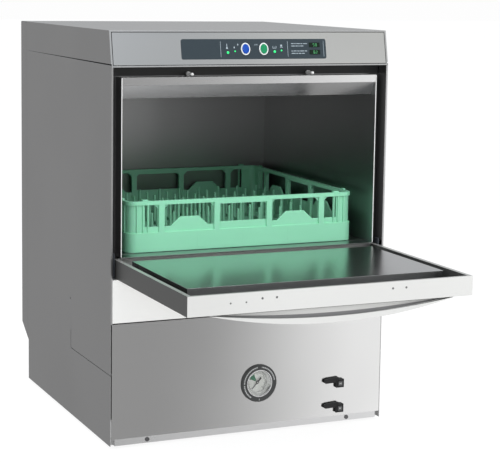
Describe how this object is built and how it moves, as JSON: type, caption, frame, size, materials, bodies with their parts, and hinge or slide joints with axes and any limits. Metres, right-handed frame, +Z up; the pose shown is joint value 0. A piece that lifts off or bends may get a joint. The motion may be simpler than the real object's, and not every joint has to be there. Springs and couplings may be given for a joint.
{
  "type": "commercial dishwasher",
  "caption": "Undercounter front-loading dishwasher with drop-down door, slide-out dish rack, spray arms, leaning control fascia, gauge and lever valves.",
  "frame": {"origin": "on the ground, at the middle of the footprint of the machine with its door open; the cabinet's front plane is at y = -0.128 m", "axes": "+Z up; the front, with the door, faces -Y; +X is to the right of someone facing the door"},
  "size_m": [0.6, 0.994, 0.82],
  "materials": {
    "cover_steel": "satin brushed stainless sheet",
    "front_steel": "satin brushed stainless sheet",
    "fascia_steel": "satin brushed stainless sheet",
    "inner_steel": "satin stainless, chamber inside",
    "door_steel": "satin brushed stainless sheet",
    "base_steel": "satin stainless sheet",
    "bright_steel": "bright machined steel",
    "panel_film": "printed slate film",
    "white_plastic": "gloss moulded",
    "blue_plastic": "gloss moulded, translucent",
    "green_plastic": "gloss moulded, translucent",
    "lamp_green": "lit lens",
    "display_dark": "dark window",
    "board_green": "printed circuit board",
    "rubber_black": "matt",
    "black_plastic": "moulded",
    "motor_paint": "matt paint",
    "grey_plastic": "moulded",
    "brass": "machined",
    "foam": "insulating foam",
    "gauge_dial": "printed dial",
    "clear": "clear",
    "rack_green": "moulded polypropylene"
  },
  "bodies": {
    "cabinet": {"base_frame": "base_steel", "adjustable_feet": "black_plastic", "right_side_panel": "cover_steel", "left_side_panel": "cover_steel", "back_panel": "cover_steel", "rear_cover": "cover_steel", "top_hood": "cover_steel", "control_fascia": "fascia_steel", "control_overlay": "panel_film", "button_bezels": "white_plastic", "indicator_lights": "lamp_green", "display_windows": "display_dark", "control_board": "board_green", "wash_chamber": "inner_steel", "drip_rail": "fascia_steel", "catch_studs": "bright_steel", "wash_tank": "inner_steel", "tank_filters": "inner_steel", "filter_basket": "grey_plastic", "overflow_pipe": "grey_plastic", "heating_element": "bright_steel", "arm_posts": "inner_steel", "arm_nuts": "black_plastic", "pump_housing": "black_plastic", "pump_motor": "motor_paint", "riser_pipes": "rubber_black", "rinse_boiler": "bright_steel", "inlet_valve": "white_plastic", "drain_outlet": "grey_plastic", "cable_gland": "black_plastic", "dosing_pumps": "grey_plastic", "front_strip": "front_steel", "access_panel": "front_steel", "base_screws": "bright_steel", "gauge_case": "black_plastic", "gauge_bezel": "bright_steel", "gauge_glass": "clear", "gauge_dial": "gauge_dial", "valve_bodies": "brass", "hinge_brackets": "motor_paint", "rack_guides": "inner_steel"},
    "door": {"door_outer_shell": "door_steel", "door_inner_liner": "inner_steel", "door_insulation": "foam", "door_seal": "rubber_black", "door_handle": "door_steel", "door_screws": "bright_steel", "hinge_bushes": "black_plastic"},
    "rack": {"dish_rack": "rack_green", "rack_pegs": "rack_green"},
    "lower_wash_arm": {"lower_wash_arm": "grey_plastic"},
    "lower_rinse_arm": {"lower_rinse_arm": "inner_steel"},
    "upper_wash_arm": {"upper_wash_arm": "grey_plastic"},
    "upper_rinse_arm": {"upper_rinse_arm": "inner_steel"},
    "pump_rotor": {"pump_impeller": "grey_plastic"},
    "needle": {"gauge_needle": "black_plastic"},
    "wash_button": {"wash_button": "blue_plastic"},
    "power_button": {"power_button": "green_plastic"},
    "upper_lever": {"upper_valve_lever": "black_plastic"},
    "lower_lever": {"lower_valve_lever": "black_plastic"}
  },
  "joints": [
    {"name": "door_hinge", "type": "hinge", "parent": "cabinet", "child": "door", "pos_m": [0, -0.1095, 0.358], "axis": [1, 0, 0], "range_deg": [-90, 0]},
    {"name": "rack_slide", "type": "slide", "parent": "cabinet", "child": "rack", "axis": [0, -1, 0], "range_m": [0, 0.396]},
    {"name": "lower_wash_arm_spin", "type": "hinge", "parent": "cabinet", "child": "lower_wash_arm", "pos_m": [0, 0.169, 0.342], "axis": [0, 0, 1], "continuous": true},
    {"name": "lower_rinse_arm_spin", "type": "hinge", "parent": "cabinet", "child": "lower_rinse_arm", "pos_m": [0, 0.169, 0.358], "axis": [0, 0, 1], "continuous": true},
    {"name": "upper_wash_arm_spin", "type": "hinge", "parent": "cabinet", "child": "upper_wash_arm", "pos_m": [0, 0.169, 0.708], "axis": [0, 0, 1], "continuous": true},
    {"name": "upper_rinse_arm_spin", "type": "hinge", "parent": "cabinet", "child": "upper_rinse_arm", "pos_m": [0, 0.169, 0.693], "axis": [0, 0, 1], "continuous": true},
    {"name": "pump_spin", "type": "hinge", "parent": "cabinet", "child": "pump_rotor", "pos_m": [-0.15, 0.169, 0.082], "axis": [1, 0, 0], "continuous": true},
    {"name": "needle_turn", "type": "hinge", "parent": "cabinet", "child": "needle", "pos_m": [0.0185, -0.128, 0.1053], "axis": [0, 1, 0], "range_deg": [0, 270]},
    {"name": "wash_button_press", "type": "slide", "parent": "cabinet", "child": "wash_button", "axis": [0, 0.9806, -0.1961], "range_m": [0, 0.0022], "stiffness_N_per_m": 400, "springref_m": -0.002},
    {"name": "power_button_press", "type": "slide", "parent": "cabinet", "child": "power_button", "axis": [0, 0.9806, -0.1961], "range_m": [0, 0.0022], "stiffness_N_per_m": 400, "springref_m": -0.002},
    {"name": "upper_lever_turn", "type": "hinge", "parent": "cabinet", "child": "upper_lever", "pos_m": [0.202, -0.132, 0.089], "axis": [0, 1, 0], "range_deg": [0, 90]},
    {"name": "lower_lever_turn", "type": "hinge", "parent": "cabinet", "child": "lower_lever", "pos_m": [0.202, -0.132, 0.036], "axis": [0, 1, 0], "range_deg": [0, 90]}
  ]
}
